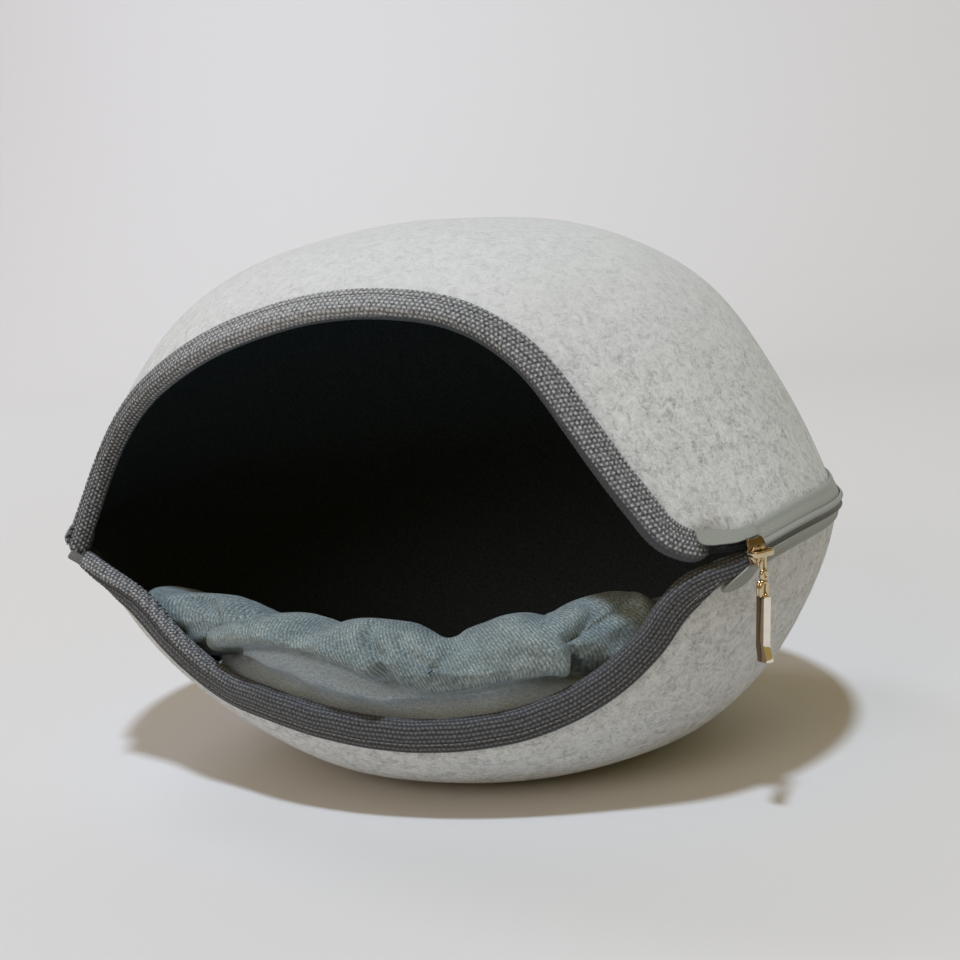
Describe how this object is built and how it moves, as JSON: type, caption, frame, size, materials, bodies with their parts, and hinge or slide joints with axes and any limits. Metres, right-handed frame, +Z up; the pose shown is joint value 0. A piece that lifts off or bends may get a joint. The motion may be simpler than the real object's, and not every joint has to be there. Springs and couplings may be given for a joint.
{
  "type": "felt pet hideout with cushion",
  "caption": "Oval felt cave for a rabbit: a lined dome zipped to a flat-based bowl, with a bound eye-shaped mouth and a filled cushion lying inside.",
  "frame": {"origin": "middle of the flat base, on the floor", "axes": "+Z up, -Y out of the mouth, +X to the slider's side of the mouth"},
  "size_m": [0.4513, 0.3373, 0.303],
  "materials": {
    "grey_felt": "mottled light grey wool felt",
    "dark_lining": "dark smooth cloth",
    "charcoal_webbing": "coarse woven webbing",
    "zip_tape": "pale grey-green woven tape",
    "zip_coil": "smooth coil",
    "pale_gold_metal": "polished pale gold plate",
    "stop_plastic": "satin",
    "blue_grey_twill": "washed twill, with pale plush under its seam"
  },
  "bodies": {
    "root": {"dome_felt": "grey_felt", "bowl_felt": "grey_felt", "dome_lining": "dark_lining", "bowl_lining": "dark_lining", "upper_binding": "charcoal_webbing", "lower_binding": "charcoal_webbing", "upper_zip_tape": "zip_tape", "lower_zip_tape": "zip_tape", "zip_chain": "zip_coil", "zip_slider": "pale_gold_metal", "zip_pull": "pale_gold_metal", "zip_end_stop": "stop_plastic", "cushion": "blue_grey_twill"}
  },
  "joints": []
}
